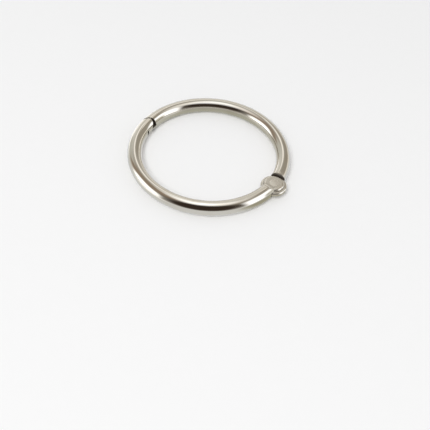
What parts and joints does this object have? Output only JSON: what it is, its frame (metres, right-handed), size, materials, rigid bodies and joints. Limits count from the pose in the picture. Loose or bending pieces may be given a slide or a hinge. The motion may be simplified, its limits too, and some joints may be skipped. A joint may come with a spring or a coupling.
{
  "type": "binder ring",
  "caption": "Hinged loose-leaf ring of round wire; its half rings turn on a rivet and snap shut with a tongue in a sawn slot.",
  "frame": {"origin": "centre of the closed ring, on its middle plane", "axes": "+X from the centre to the hinge rivet, +Z square to the ring's plane, along the hinge axis"},
  "size_m": [0.0321, 0.0308, 0.0026],
  "materials": {
    "nickel_plate": "polished",
    "rivet": "satin"
  },
  "bodies": {
    "slotted_half": {"slotted_half": "nickel_plate", "hinge_rivet": "rivet"},
    "tongued_half": {"tongued_half": "nickel_plate"}
  },
  "joints": [
    {"name": "ring_hinge", "type": "hinge", "parent": "slotted_half", "child": "tongued_half", "pos_m": [0.01425, 0, 0], "axis": [0, 0, -1], "range_deg": [0, 120]}
  ]
}
